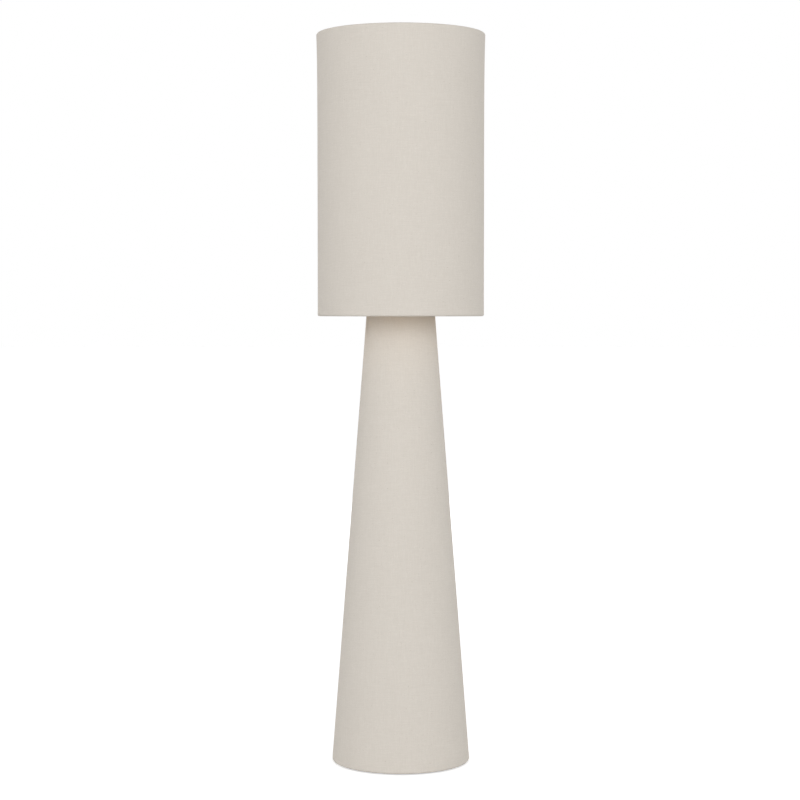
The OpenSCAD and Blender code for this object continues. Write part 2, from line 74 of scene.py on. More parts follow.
INSULATOR_LOW, INSULATOR_HIGH, CONTACT = 5.6*MM, 10.2*MM, 4.8*MM   # radii
PADS, PAD_RADIUS = 4, 12*MM

ROLL_STEPS = 10
ROUND = 96                      # steps round a turned piece


# ---- Settings ----

def length(name, about, default, low=0.0, high=10.0):
    return FloatProperty(name=name, description=about, default=default, min=low, max=high,
                         precision=5, subtype="DISTANCE", unit="LENGTH")


def amount(name, about, default, low=0.0, high=1000.0):
    return FloatProperty(name=name, description=about, default=default, min=low, max=high)


def colour(name, about, default):
    return FloatVectorProperty(name=name, description=about, subtype="COLOR", size=3, default=default,
                               min=0.0, max=1.0)


class LampLinen(bpy.types.PropertyGroup):
    thickness: length("Thickness", "Thickness of the linen", 0.7*MM)
    turn: length("Edge roll", "Radius of the rolled edges, over the linen", EDGE_ROLL)
    hem: length("Hem", "Height of the turned-in edge behind each hoop", 4*MM)
    lap: length("Seam lap", "Width of the lap at the back seam", 12*MM)
    lap_rise: length("Lap rise", "How far the lap stands proud", 0.4*MM)
    warp: amount("Warp", "Upright threads in one metre", 1250, 100, 5000)
    weft: amount("Weft", "Level threads in one metre", 1150, 100, 5000)
    light: colour("Light thread", "Colour of the palest threads", (0.768, 0.7205, 0.6595))
    # The dark thread colour is mostly painted shade in the gaps between threads, and partly the yarn's
    # own darker tone
    dark_and_gap_shade: colour("Dark thread", "Colour between the threads", (0.600, 0.553, 0.4885))
    nep: colour("Neps", "Colour of the specks of straw in the yarn", (0.330, 0.270, 0.200))


class LampShade(bpy.types.PropertyGroup):
    radius: length("Radius", "Shade radius over the linen, below the flare", 148.25*MM)
    flare: length("Flare", "How far the top hoop stretches the linen outwards", 1.9*MM)
    flare_length: length("Flare length", "Height over which the flare dies away", 45*MM)
    hem_swell: length("Hem swell", "How far the linen stands out over the bottom hoop", 0.3*MM)
    swell_height: length("Swell height", "Height over which that swell dies away", 5*MM, 0.1*MM)


class LampFinish(bpy.types.PropertyGroup):
    # The liner's colour is partly its own cream and partly a painted warm glow: it is warmed so that its
    # bounce inside the shade stands in for the warm light a cloth shade lets through
    liner: colour("Liner", "Stiff cream liner behind the linen", (0.84, 0.765, 0.63))
    paint: colour("White paint", "Powder coat on the arms, hub, neck and top plate", (0.80, 0.78, 0.74))
    plastic: colour("Lampholder", "Moulded white plastic", (0.80, 0.79, 0.76))
    block: colour("Terminal block", "Moulded nylon", (0.74, 0.70, 0.60))
    lead: colour("Lead", "Soft white cable sheath", (0.76, 0.75, 0.72))
    opal: colour("Opal globe", "The bulb's diffuser", (0.84, 0.83, 0.80))
    housing: colour("Bulb housing", "White plastic under the globe", (0.80, 0.80, 0.78))
    ceramic: colour("Ceramic", "The lampholder's core", (0.76, 0.73, 0.66))
    insulator: colour("Insulator", "Black glass round the bulb's contact", (0.018, 0.018, 0.022))
    iron: colour("Iron", "Cast iron under thin black paint", (0.045, 0.045, 0.048))
    rubber: colour("Rubber", "Floor pads, grommet and bush", (0.042, 0.042, 0.043))
    steel: colour("Steel", "Stem, flange and screws", (0.56, 0.56, 0.57))
    wire: colour("Wire", "Drawn wire of the hoops and struts", (0.50, 0.49, 0.48))
    nickel: colour("Nickel", "The bulb's screw cap", (0.66, 0.64, 0.60))
    brass: colour("Brass", "Threaded tube, plug and contacts", (0.66, 0.47, 0.20))


class LampStudio(bpy.types.PropertyGroup):
    distance: length("Distance", "Camera distance from the lamp's axis", 3.568, 0.5, 20)
    height: length("Height", "Camera height above the floor", 0.812, 0.0, 5)
    aside: length("Aside", "Camera place to the left of the axis", 1.4*MM, -1, 1)
    tilt: FloatProperty(name="Tilt", description="How far the camera looks down", default=radians(2.6),
                        subtype="ANGLE", unit="ROTATION")
    lens: amount("Lens", "Focal length in millimetres on a 36 mm sensor", 89.78, 10, 300)
    walls: amount("Walls", "Strength of the even light from the walls", 1.14, 0, 5)
    ceiling: amount("Ceiling", "Strength of the even light from above", 0.22, 0, 5)
    key: amount("Key", "Radiance of the two large softboxes in front", 1.81, 0, 20)
    back: amount("Back", "Radiance of the softbox behind", 1.5, 0, 20)
    top: amount("Top", "Radiance of the narrow softbox above the shade's mouth", 0.15, 0, 50)
    inside: amount("Inside", "Watts of each of three warm lights in the shade's mouth", 0.033, 0, 20)
    inside_tint: colour("Inside tint", "Tint of those lights", (1.0, 0.57, 0.12))
    middle: amount("Middle", "Watts of the light in the middle of the shade", 0.08, 0, 20)
    middle_tint: colour("Middle tint", "Tint of that light", (1.0, 0.86, 0.66))
    floor: colour("Floor", "Colour of the floor", (0.80, 0.80, 0.80))
    floor_glow: amount("Floor white", "White added to the floor that the camera sees", 0.575, 0, 2)


GROUPS = {"lamp_linen": LampLinen, "lamp_shade": LampShade, "lamp_finish": LampFinish,
          "lamp_studio": LampStudio}


# ---- Shaping ----

def eased(corners, steps=4):
    """A line of (radius, height, softness) corners, with each corner rounded by its softness."""
    line = []
    for i, (r, z, soft) in enumerate(corners):
        here = Vector((r, z))
        if not soft:
            line.append((r, z))
            continue
        start = here + (Vector(corners[i - 1][:2]) - here).normalized()*soft
        end = here + (Vector(corners[(i + 1) % len(corners)][:2]) - here).normalized()*soft
        for k in range(steps + 1):
            t = k/steps
            p = start*(1 - t)**2 + here*(2*t*(1 - t)) + end*t*t
            line.append((p.x, p.y))
    return line


def bow(centre, radius, start, end, steps):
    """Points of an arc in the (radius, height) plane; angles in degrees."""
    return [(centre[0] + radius*cos(radians(start + (end - start)*i/steps)),
             centre[1] + radius*sin(radians(start + (end - start)*i/steps))) for i in range(steps + 1)]


def lathe(bm, line, steps=ROUND, turn=tau, start=0.0, closed=True, rise=0.0):
    """Spins a line of (radius, height) points about the lamp's axis; rise lifts it as it turns."""
    verts = [bm.verts.new((r*cos(start), r*sin(start), z)) for r, z in line]
    edges = [bm.edges.new(pair) for pair in zip(verts, verts[1:] + verts[:1]*closed)]
    return bmesh.ops.spin(bm, geom=verts + edges, cent=(0, 0, 0), axis=UP, angle=turn, steps=steps,
                          dvec=(0, 0, rise/steps), use_merge=turn == tau and not rise)


def array_round(bm, count, geom=None):
    """Repeats the geometry about the lamp's axis."""
    geom = geom or bm.verts[:] + bm.edges[:] + bm.faces[:]
    for i in range(1, count):
        made = bmesh.ops.duplicate(bm, geom=geom)["geom"]
        verts = [x for x in made if isinstance(x, bmesh.types.BMVert)]
        bmesh.ops.rotate(bm, verts=verts, cent=(0, 0, 0), matrix=Matrix.Rotation(tau*i/count, 3, "Z"))


def blob(bm, centre, size, seed):
    """A small lump, such as a weld or a drop of solder."""
    made = bmesh.ops.create_icosphere(bm, subdivisions=3, radius=1.0)["verts"]
    for v in made:
        v.co *= 1 + 0.14*noise.noise(v.co*1.7 + Vector((seed, 0, 0)))
    bmesh.ops.scale(bm, vec=size, verts=made)
    bmesh.ops.translate(bm, vec=centre, verts=made)
    return made


def helix(bm, wave, pitch, low, high, root, steps=64):
    """A tube with a thread between two heights, which runs out to the root radius at both ends."""
    turns = ceil((high - low)/pitch) + 2
    line = [(r, low + pitch*(share - 1)) for share, r in wave]
    lathe(bm, line, steps*turns, turn=tau*turns, closed=False, rise=pitch*turns)
    bmesh.ops.remove_doubles(bm, verts=bm.verts, dist=1e-5)
    for z, normal in ((low, UP), (high, -UP)):
        bmesh.ops.bisect_plane(bm, geom=bm.verts[:] + bm.edges[:] + bm.faces[:], dist=1e-7,
                               plane_co=(0, 0, z), plane_no=normal, clear_inner=True)
    for v in bm.verts:
        r = hypot(v.co.x, v.co.y)
        full = max(0.0, min(1.0, (v.co.z - low)/pitch, (high - v.co.z)/pitch))
        v.co.xy *= (root + (r - root)*full)/r


def join_rims(bm, height):
    """Closes the narrow gap between two open rims near that height."""
    rims = [e for e in bm.edges if e.is_boundary and all(abs(v.co.z - height) < 0.2*MM for v in e.verts)]
    bmesh.ops.bridge_loops(bm, edges=rims)


def finish_piece(bm, name, finish, body, replaces=(), crease=35):
    """Cleans the mesh, gives it its finish and fastens it to its body."""
    bmesh.ops.remove_doubles(bm, verts=bm.verts, dist=1e-6)
    bmesh.ops.dissolve_degenerate(bm, edges=bm.edges, dist=1e-7)
    bmesh.ops.delete(bm, geom=[e for e in bm.edges if e.is_wire], context="EDGES")
    bmesh.ops.recalc_face_normals(bm, faces=bm.faces)
    mesh = bpy.data.meshes.new(name)
    for face in bm.faces:
        face.smooth = True
    bm.to_mesh(mesh)
    bm.free()
    mesh.set_sharp_from_angle(angle=radians(crease))
    piece = bpy.data.objects.new(name, mesh)
    bpy.context.scene.collection.objects.link(piece)
    mesh.materials.append(finish)
    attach(piece, body)
    if replaces:
        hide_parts(*replaces)
    return piece


def dress(scene, finish, *nodes):
    """Gives CAD nodes the finish of that name."""
    for node in nodes:
        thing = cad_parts[node]
        if not thing.material_slots:
            thing.data.materials.append(None)
        for slot in thing.material_slots:
            slot.link = "OBJECT"
            slot.material = finish_for(scene, finish)


# ---- Shaders ----

def wire_up(tree, kind, inputs=None, **settings):
    """A node with its settings, and its inputs set or linked."""
    made = tree.nodes.new("ShaderNode" + kind)
    for key, value in settings.items():
        setattr(made, key, value)
    for key, value in (inputs or {}).items():
        if isinstance(value, bpy.types.NodeSocket):
            tree.links.new(value, made.inputs[key])
        else:
            made.inputs[key].default_value = value
    return made


def calc(tree, what, *values):
    """A Math node's result."""
    return wire_up(tree, "Math", dict(enumerate(values)), operation=what).outputs[0]


def blend(tree, factor, a, b):
    return wire_up(tree, "Mix", {0: factor, 2: a, 3: b}, data_type="FLOAT").outputs[0]


def blend_colours(tree, factor, a, b):
    return wire_up(tree, "Mix", {0: factor, 6: a, 7: b}, data_type="RGBA").outputs[2]


def spread(tree, value, low, high, to_low=0.0, to_high=1.0):
    return wire_up(tree, "MapRange", {"Value": value, "From Min": low, "From Max": high,
                                      "To Min": to_low, "To Max": to_high}).outputs[0]


def grain(tree, vector, scale, detail=2.0, rough=0.5):
    return wire_up(tree, "TexNoise", {"Vector": vector, "Scale": scale, "Detail": detail,
                                      "Roughness": rough}).outputs[0]


def new_group(name, inputs, outputs):
    tree = bpy.data.node_groups.new(name, "ShaderNodeTree")
    for label, kind in inputs:
        tree.interface.new_socket(name=label, in_out="INPUT", socket_type="NodeSocket" + kind)
    for label, kind in outputs:
        tree.interface.new_socket(name=label, in_out="OUTPUT", socket_type="NodeSocket" + kind)
    return tree, tree.nodes.new("NodeGroupInput").outputs, tree.nodes.new("NodeGroupOutput").inputs


def weave_group():
    """Plain weave in flat cloth coordinates: uneven threads, slubs, neps and a soft unevenness, with
    painted shade in the gaps between threads and a painted highlight on their crowns.
    """
    if "Linen weave" in bpy.data.node_groups:
        return bpy.data.node_groups["Linen weave"]
    tree, given, out = new_group(
        "Linen weave",
        [("Cloth", "Vector"), ("Warp", "Float"), ("Weft", "Float"), ("Light", "Color"), ("Dark", "Color"),
         ("Nep", "Color")],
        [("Color", "Color"), ("Roughness", "Float"), ("Height", "Float")])
    cloth = given["Cloth"]
    # The threads wander a little
    bend = wire_up(tree, "TexNoise", {"Vector": cloth, "Scale": 70.0, "Detail": 2.0}).outputs["Color"]
    for inputs, what in (({1: (0.5, 0.5, 0.5)}, "SUBTRACT"), ({"Scale": 0.0011}, "SCALE"),
                         ({1: cloth}, "ADD")):
        bend = wire_up(tree, "VectorMath", {0: bend, **inputs}, operation=what).outputs[0]
    u, v, _ = wire_up(tree, "SeparateXYZ", {0: bend}).outputs
    across, up = calc(tree, "MULTIPLY", u, given["Warp"]), calc(tree, "MULTIPLY", v, given["Weft"])
    warp_no, weft_no = calc(tree, "FLOOR", across), calc(tree, "FLOOR", up)

    def change(number, along, place, apart, scale, detail):
        """Noise along a yarn, different in each yarn."""
        at = wire_up(tree, "CombineXYZ", {0: calc(tree, "MULTIPLY", number, apart),
                                          1: calc(tree, "MULTIPLY", along, scale), 2: place}).outputs[0]
        return grain(tree, at, 1.0, detail)

    def yarn(number, along, place):
        """How full and pale a yarn is along its length: a slow change and short slubs."""
        return (spread(tree, change(number, along, place, 3.71, 45.0, 1.0), 0.28, 0.72),
                spread(tree, change(number, along, place + 9, 1.93, 160.0, 0.0), 0.62, 0.80))

    warp_full, warp_slub = yarn(warp_no, v, 0.3)
    weft_full, weft_slub = yarn(weft_no, u, 5.3)

    def strand(run, other, number, full, slub, sign):
        """Height of a round thread that passes over and under the others."""
        hump = calc(tree, "ABSOLUTE", calc(tree, "SINE", calc(tree, "MULTIPLY", run, pi)))
        swing = calc(tree, "SINE", calc(tree, "MULTIPLY", calc(tree, "ADD", other, number), pi))
        swing = calc(tree, "MULTIPLY_ADD", swing, 0.42*sign, 0.58)
        fat = calc(tree, "MULTIPLY_ADD", full, 0.34, 0.70)
        fat = calc(tree, "MULTIPLY_ADD", slub, 0.45, fat)
        return calc(tree, "MULTIPLY", calc(tree, "MULTIPLY", hump, swing), fat)

    warp_h = strand(across, up, warp_no, warp_full, warp_slub, 1)
    weft_h = strand(up, across, weft_no, weft_full, weft_slub, -1)
    height = calc(tree, "MAXIMUM", warp_h, weft_h)
    on_top = calc(tree, "GREATER_THAN", warp_h, weft_h)
    tone = blend(tree, on_top, weft_full, warp_full)
    slub = blend(tree, on_top, weft_slub, warp_slub)
    # Paler where a yarn is full and at slubs, which is its own tone; the height term is painted light: a
    # painted highlight where a thread is high and painted shade in the gaps
    painted_light_and_tone = calc(tree, "MULTIPLY_ADD", tone, 0.15, calc(tree, "MULTIPLY_ADD", height, 0.75, 0.135))
    painted_light_and_tone = calc(tree, "MULTIPLY_ADD", slub, 0.10, painted_light_and_tone)
    cloud = spread(tree, grain(tree, cloth, 6.0, 3.0), 0.3, 0.7, -0.015, 0.015)
    painted_light_and_tone = calc(tree, "ADD", painted_light_and_tone, cloud)
    # The threads' colour runs from dark to light with the yarn's tone and with the painted shade and
    # highlight by height
    body = blend_colours(tree, painted_light_and_tone, given["Dark"], given["Light"])
    # Neps: rare short specks of straw, most of them lying along the weft
    long_way = wire_up(tree, "Mapping", {"Vector": cloth, "Scale": (240.0, 900.0, 1.0)}).outputs[0]
    speck = spread(tree, grain(tree, long_way, 1.0, 0.0), 0.825, 0.870, 0.0, 0.55)
    tree.links.new(blend_colours(tree, speck, body, given["Nep"]), out["Color"])
    tree.links.new(spread(tree, height, 0.0, 1.0, 0.96, 0.84), out["Roughness"])
    tree.links.new(height, out["Height"])
    return tree


def surface_group():
    """A plain surface's unevenness: a cloudy tone, a fine grain, and a changing gloss."""
    if "Surface grain" in bpy.data.node_groups:
        return bpy.data.node_groups["Surface grain"]
    tree, given, out = new_group(
        "Surface grain",
        [("Place", "Vector"), ("Base", "Color"), ("Tone", "Float"), ("Cloud size", "Float"),
         ("Grain size", "Float"), ("Gloss low", "Float"), ("Gloss high", "Float")],
        [("Color", "Color"), ("Roughness", "Float"), ("Height", "Float")])
    cloud = grain(tree, given["Place"], given["Cloud size"], 4.0)
    fine = grain(tree, given["Place"], given["Grain size"], 3.0, 0.6)
    both = calc(tree, "MULTIPLY_ADD", fine, 0.45, calc(tree, "MULTIPLY", cloud, 0.55))
    swing = calc(tree, "MULTIPLY", spread(tree, both, 0.35, 0.65, -1.0, 1.0), given["Tone"])
    tone = calc(tree, "ADD", swing, 1.0)
    toned = wire_up(tree, "VectorMath", {0: given["Base"], "Scale": tone}, operation="SCALE")
    tree.links.new(toned.outputs[0], out["Color"])
    tree.links.new(spread(tree, both, 0.35, 0.65, given["Gloss low"], given["Gloss high"]),
                   out["Roughness"])
    tree.links.new(fine, out["Height"])
    return tree


EVEN, METAL = (1, 1, 1), {"Metallic": 1.0}
# For each colour of LampFinish: its material, how much the tone swings, the scales of its cloudiness and
# its grain, the range of its roughness, the height of its bump, its stretch and constants of its shader
FINISHES = {
    # The liner's cream is partly warmed as a painted glow of light let through the cloth
    "liner": ("Liner", 0.02, 14, 900, (0.50, 0.62), 4e-5),
    "paint": ("White powder coat", 0.025, 30, 1400, (0.34, 0.48), 2.5e-5, EVEN,
              {"Coat Weight": 0.15, "Coat Roughness": 0.25}),
    "plastic": ("Moulded plastic", 0.02, 60, 2600, (0.28, 0.40), 1.5e-5),
    "block": ("Nylon", 0.04, 80, 2200, (0.35, 0.50), 2e-5),
    "lead": ("Cable sheath", 0.03, 50, 1800, (0.42, 0.55), 2e-5),
    "opal": ("Opal", 0.012, 25, 1500, (0.16, 0.22), 4e-6, EVEN,
             {"Coat Weight": 0.3, "Coat Roughness": 0.08}),
    "housing": ("Bulb housing", 0.02, 60, 2600, (0.30, 0.40), 1.2e-5),
    "ceramic": ("Ceramic", 0.05, 90, 1600, (0.30, 0.50), 3e-5),
    "insulator": ("Black glass", 0.15, 90, 1600, (0.08, 0.18), 1e-5),
    "iron": ("Cast iron", 0.35, 45, 520, (0.48, 0.72), 3.5e-4, EVEN, {"Specular IOR Level": 0.45}),
    "rubber": ("Rubber", 0.28, 70, 1900, (0.60, 0.82), 4e-5, EVEN,
               {"Sheen Weight": 0.12, "Sheen Roughness": 0.4}),
    "steel": ("Turned steel", 0.10, 60, 2200, (0.24, 0.42), 1.2e-5, (1, 1, 5), METAL),
    "wire": ("Drawn wire", 0.14, 2, 35, (0.28, 0.46), 1.2e-5, (60, 60, 1), METAL),
    "nickel": ("Nickel", 0.06, 60, 1700, (0.18, 0.30), 8e-6, EVEN, METAL),
    "brass": ("Brass", 0.10, 60, 1700, (0.20, 0.36), 1e-5, EVEN, METAL),
}


def new_finish(name):
    """An empty material with its Principled shader, or None if it is there already."""
    if name in bpy.data.materials:
        return bpy.data.materials[name], None, None
    finish = bpy.data.materials.new(name)
    finish.use_nodes = True
    tree = finish.node_tree
    tree.nodes.clear()
    skin = wire_up(tree, "BsdfPrincipled")
    tree.links.new(skin.outputs[0], wire_up(tree, "OutputMaterial").inputs["Surface"])
    return finish, tree, skin


def linen_finish(scene):
    finish, tree, skin = new_finish("Linen")
    if tree is None:
        return finish
    kit = scene.lamp_linen
    weave = wire_up(tree, "Group", {
        "Cloth": wire_up(tree, "UVMap", uv_map="cloth").outputs[0], "Warp": kit.warp, "Weft": kit.weft,
        "Light": (*kit.light, 1), "Dark": (*kit.dark_and_gap_shade, 1), "Nep": (*kit.nep, 1)}, node_tree=weave_group())
    bump = wire_up(tree, "Bump", {"Strength": 0.8, "Distance": 0.22*MM,
                                  "Height": weave.outputs["Height"]})
    tree.links.new(weave.outputs["Color"], skin.inputs["Base Color"])
    tree.links.new(weave.outputs["Roughness"], skin.inputs["Roughness"])
    tree.links.new(bump.outputs[0], skin.inputs["Normal"])
    skin.inputs["Specular IOR Level"].default_value = 0.12
    return finish


def plain_finish(name, base, tone, cloud, fine, gloss, bump, stretch=EVEN, fixed=None):
    """A finish on the lamp's own coordinates, from the surface grain and constants for the shader."""
    finish, tree, skin = new_finish(name)
    if tree is None:
        return finish
    place = wire_up(tree, "TexCoord").outputs["Object"]
    place = wire_up(tree, "Mapping", {"Vector": place, "Scale": stretch}).outputs[0]
    group = wire_up(tree, "Group", {
        "Place": place, "Base": (*base, 1), "Tone": tone, "Cloud size": cloud, "Grain size": fine,
        "Gloss low": gloss[0], "Gloss high": gloss[1]}, node_tree=surface_group())
    tree.links.new(group.outputs["Color"], skin.inputs["Base Color"])
    tree.links.new(group.outputs["Roughness"], skin.inputs["Roughness"])
    raised = wire_up(tree, "Bump", {"Strength": 0.6, "Distance": bump, "Height": group.outputs["Height"]})
    tree.links.new(raised.outputs[0], skin.inputs["Normal"])
    for key, value in (fixed or {}).items():
        skin.inputs[key].default_value = value
    return finish


def finish_for(scene, name):
    """The finish of that name, made the first time it is asked for."""
    label, *looks = FINISHES[name]
    return plain_finish(label, getattr(scene.lamp_finish, name), *looks)


# ---- Linen covers ----

def flat_place(angle, along, low, slant):
    """Where a point of a cover lies on the flat cloth. A cone's cover is cut as a fan."""
    if abs(slant) < 1e-4:
        return low*angle, along
    reach = low/slant - along
    swing = (angle - pi)*slant
    return reach*sin(swing), -reach*cos(swing)


def crowded(low, high, steps):
    """Heights from low to high that crowd towards both ends."""
    return [low + (high - low)*(0.5 - 0.5*cos(pi*i/steps)) for i in range(steps + 1)]


def around(faces):
    """Those faces with their edges and corners, as bisect_plane takes them."""
    return faces + list({e for f in faces for e in f.edges}) + list({v for f in faces for v in f.verts})


def cover(name, body, node, wall, kit, finish, seam, steps, hole=None, slant=0.0):
    """A linen cover: one sheet with rolled edges and a lapped back seam, then given its thickness."""
    t, hem = kit.turn, kit.hem
    low, high = Vector(wall[0]), Vector(wall[-1])
    line = [(low.x - 2*t, low.y + hem), (low.x - 2*t, low.y + hem/2)]
    line += bow((low.x - t, low.y), t, 180, 360, ROLL_STEPS)[:-1] + wall
    line += bow((high.x - t, high.y), t, 0, 180, ROLL_STEPS)[1:]
    line += [(high.x - 2*t, high.y - hem/2), (high.x - 2*t, high.y - hem)]
    run = [0.0]
    for a, b in zip(line, line[1:]):
        run.append(run[-1] + hypot(b[0] - a[0], b[1] - a[1]))
    zero = run[2 + ROLL_STEPS]
    bm = bmesh.new()
    mark = bm.verts.layers.float.new("along")
    verts = [bm.verts.new((r*cos(seam), r*sin(seam), z)) for r, z in line]
    for vert, there in zip(verts, run):
        vert[mark] = there - zero
    edges = [bm.edges.new(pair) for pair in zip(verts, verts[1:])]
    bmesh.ops.spin(bm, geom=verts + edges, cent=(0, 0, 0), axis=UP, angle=tau, steps=steps,
                   use_merge=True)
    bmesh.ops.remove_doubles(bm, verts=bm.verts, dist=1e-6)
    bmesh.ops.recalc_face_normals(bm, faces=bm.faces)

    # The lap: a sharp folded edge at the seam, and a soft step where the cloth underneath ends
    out, side = Vector((cos(seam), sin(seam), 0)), Vector((-sin(seam), cos(seam), 0))
    fade = 2*MM
    for place in (-0.35*MM, 0, kit.lap, kit.lap + 0.4*fade, kit.lap + fade):
        near = around([f for f in bm.faces if f.calc_center_median().dot(out) > 0])
        bmesh.ops.bisect_plane(bm, geom=near, dist=1e-6, plane_co=side*place, plane_no=side)
    if hole:
        punch(bm, *hole)
    bm.normal_update()
    outwards = sum(f.normal.dot(f.calc_center_median()*Vector((1, 1, 0))) for f in bm.faces)
    facing = 1 if outwards > 0 else -1
    normals = {v: v.normal*facing for v in bm.verts}
    for v, normal in normals.items():
        across, back = v.co.dot(side), v.co.dot(out)
        lift = 0.0
        if back > 0 and -1e-5 <= across:
            lift = kit.lap_rise*min(1.0, max(0.0, (kit.lap + fade - across)/fade))
        wander = 0.10*MM*noise.noise(v.co*9.0) + 0.04*MM*noise.noise(v.co*31.0)
        v.co += normal*(lift + wander)
    # The cut edge inside the hem wavers
    for v in bm.verts:
        if v.is_boundary and hypot(v.co.x, v.co.y) < low.x - 1.9*t and abs(v.co.z - low.y - hem) < MM:
            v.co.z += 0.5*MM*noise.noise(v.co*40.0)

    flat = bm.loops.layers.uv.new("cloth")
    for face in bm.faces:
        middle = face.calc_center_median()
        ahead = (atan2(middle.y, middle.x) - seam) % tau
        for loop in face.loops:
            angle = (atan2(loop.vert.co.y, loop.vert.co.x) - seam) % tau
            angle += tau*round((ahead - angle)/tau)
            loop[flat].uv = flat_place(angle, loop.vert[mark], low.x, slant)
    bmesh.ops.solidify(bm, geom=bm.faces[:], thickness=kit.thickness*facing)
    return finish_piece(bm, name, finish, body, (node,), crease=60)


def punch(bm, centre, radius, wall_at):
    """Cuts a round hole in a cover, at a place of its back, +Y."""
    half = radius*1.6
    for axis, middle in ((Vector((1, 0, 0)), 0.0), (UP, centre)):
        for edge in (-half, half):
            near = around([f for f in bm.faces if f.calc_center_median().y > 0 and
                           hypot(*(f.calc_center_median().xz - Vector((0, centre)))) < 120*MM])
            bmesh.ops.bisect_plane(bm, geom=near, dist=1e-6, plane_co=axis*(middle + edge), plane_no=axis)
    patch = []
    for f in bm.faces:
        c = f.calc_center_median()
        if c.y > wall_at(centre)*0.9 and abs(c.x) < half and abs(c.z - centre) < half:
            patch.append(f)
    rim = [e for e in {e for f in patch for e in f.edges} if sum(f in patch for f in e.link_faces) == 1]
    bmesh.ops.delete(bm, geom=patch, context="FACES_KEEP_BOUNDARY")
    ring = bmesh.ops.create_circle(bm, segments=48, radius=radius)["verts"]
    mark = bm.verts.layers.float["along"]
    for v in ring:
        x, z = v.co.x, centre + v.co.y
        v.co = Vector((x, (wall_at(z)**2 - x*x)**0.5, z))
    corner = Vector((half, (wall_at(centre - half)**2 - half**2)**0.5, centre - half))
    below = min(bm.verts, key=lambda v: (v.co - corner).length)
    for v in ring:
        v[mark] = below[mark] + (v.co.z - below.co.z)
    ring_edges = list({e for v in ring for e in v.link_edges})
    bmesh.ops.bridge_loops(bm, edges=rim + ring_edges)


def shade_radius(scene, z):
    kit = scene.lamp_shade
    swell = kit.hem_swell*exp(-((z - SHADE_LOW.z - scene.lamp_linen.turn)/kit.swell_height)**2)
    return kit.radius + kit.flare*exp((z - SHADE_HIGH.z)/kit.flare_length) + swell


def column_radius(z):
    """Radius over the linen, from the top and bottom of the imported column."""
    low, high = COLUMN_LOW.z, COLUMN_HIGH.z
    at_low = COLUMN_HIGH.x + (COLUMN_HIGH.x - COLUMN_TOP)*EDGE_ROLL/(high - low - EDGE_ROLL)
    return at_low + (COLUMN_TOP - at_low)*(z - low)/(high - low)


class LAMP_OT_shade_linen(bpy.types.Operator):
    """Cover the shade in linen"""
    bl_idname = "lamp.shade_linen"
    bl_label = "Shade Linen"

    def execute(self, context):
        scene = context.scene
        kit = scene.lamp_linen
        low, high = SHADE_LOW.z + kit.turn, SHADE_HIGH.z - kit.turn
        wall = [(shade_radius(scene, z), z) for z in crowded(low, high, 44)]
        made = cover("shade_cover", "shade", "shade_linen", wall, kit, linen_finish(scene), pi/2, 220)
        return {"FINISHED"}


class LAMP_OT_column_linen(bpy.types.Operator):
    """Cover the column in linen, cut as a fan, with a hole for the cord outlet"""
    bl_idname = "lamp.column_linen"
    bl_label = "Column Linen"

    def execute(self, context):
        scene = context.scene
        kit = scene.lamp_linen
        low, high = COLUMN_LOW.z + kit.turn, COLUMN_HIGH.z - kit.turn
        wall = [(column_radius(z), z) for z in crowded(low, high, 36)]
        a, b = Vector(wall[0]), Vector(wall[-1])
        slant = (a.x - b.x)/(b - a).length
        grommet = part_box("outlet_grommet")
        hole = ((grommet[0].z + grommet[1].z)/2, OUTLET_HOLE, column_radius)
        made = cover("column_cover", "lamp", "column_linen", wall, kit, linen_finish(scene),
                     pi/2 + radians(8), 200, hole, slant)
        return {"FINISHED"}


# ---- Hard pieces ----

class LAMP_OT_shade_frame(bpy.types.Operator):
    """Finish the shade's liner, hoops and arms, with the pressed hub, the welds and the liner's seam"""
    bl_idname = "lamp.shade_frame"
    bl_label = "Shade Frame"

    def execute(self, context):
        scene = context.scene
        paint = finish_for(scene, "paint")
        liner = finish_for(scene, "liner")
        dress(scene, "liner", "shade_liner")
        dress(scene, "paint", "shade_top_hoop", "shade_bottom_hoop", "shade_arms")
        low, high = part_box("shade_hub")
        bm = bmesh.new()
        lathe(bm, eased([(HUB_BORE, low.z, 0.5*MM), (high.x, low.z, 0.8*MM), (high.x, high.z, 0.8*MM),
                         (HUB_BORE, high.z, 0.5*MM)]))
        finish_piece(bm, "hub_plate", paint, "shade", ("shade_hub",))
        # Each arm is welded on the hub's edge and on the bottom hoop
        arms_low, arms_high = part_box("shade_arms")
        arm_z = (low.z + high.z)/2
        leg = arms_high.y - ARM_WIRE
        bm = bmesh.new()
        blob(bm, Vector((0, high.x + 0.6*MM, arm_z)), (2.6*MM, 1.9*MM, 1.9*MM), 1)
        blob(bm, Vector((0, leg, arms_low.z + 0.6*MM)), (2.6*MM, 2.1*MM, 2.0*MM), 2)
        array_round(bm, ARMS)
        finish_piece(bm, "arm_welds", paint, "shade")
        # The liner's own seam inside, a strip where it laps
        kit = scene.lamp_linen
        bottom, top = SHADE_LOW.z + 2*kit.turn + MM, SHADE_HIGH.z - 2*kit.turn - MM
        levels = [bottom + (top - bottom)*(1 - (1 - i/24)**2) for i in range(25)]
        inner = [(shade_radius(scene, z) - WALL, z) for z in levels]
        bm = bmesh.new()
        lathe(bm, [(r + 0.05*MM, z) for r, z in inner] + [(r - 0.3*MM, z) for r, z in reversed(inner)],
              6, turn=10*MM/inner[0][0], start=pi/2 + radians(6))
        bmesh.ops.holes_fill(bm, edges=[e for e in bm.edges if e.is_boundary])
        finish_piece(bm, "liner_lap", liner, "shade")
        return {"FINISHED"}


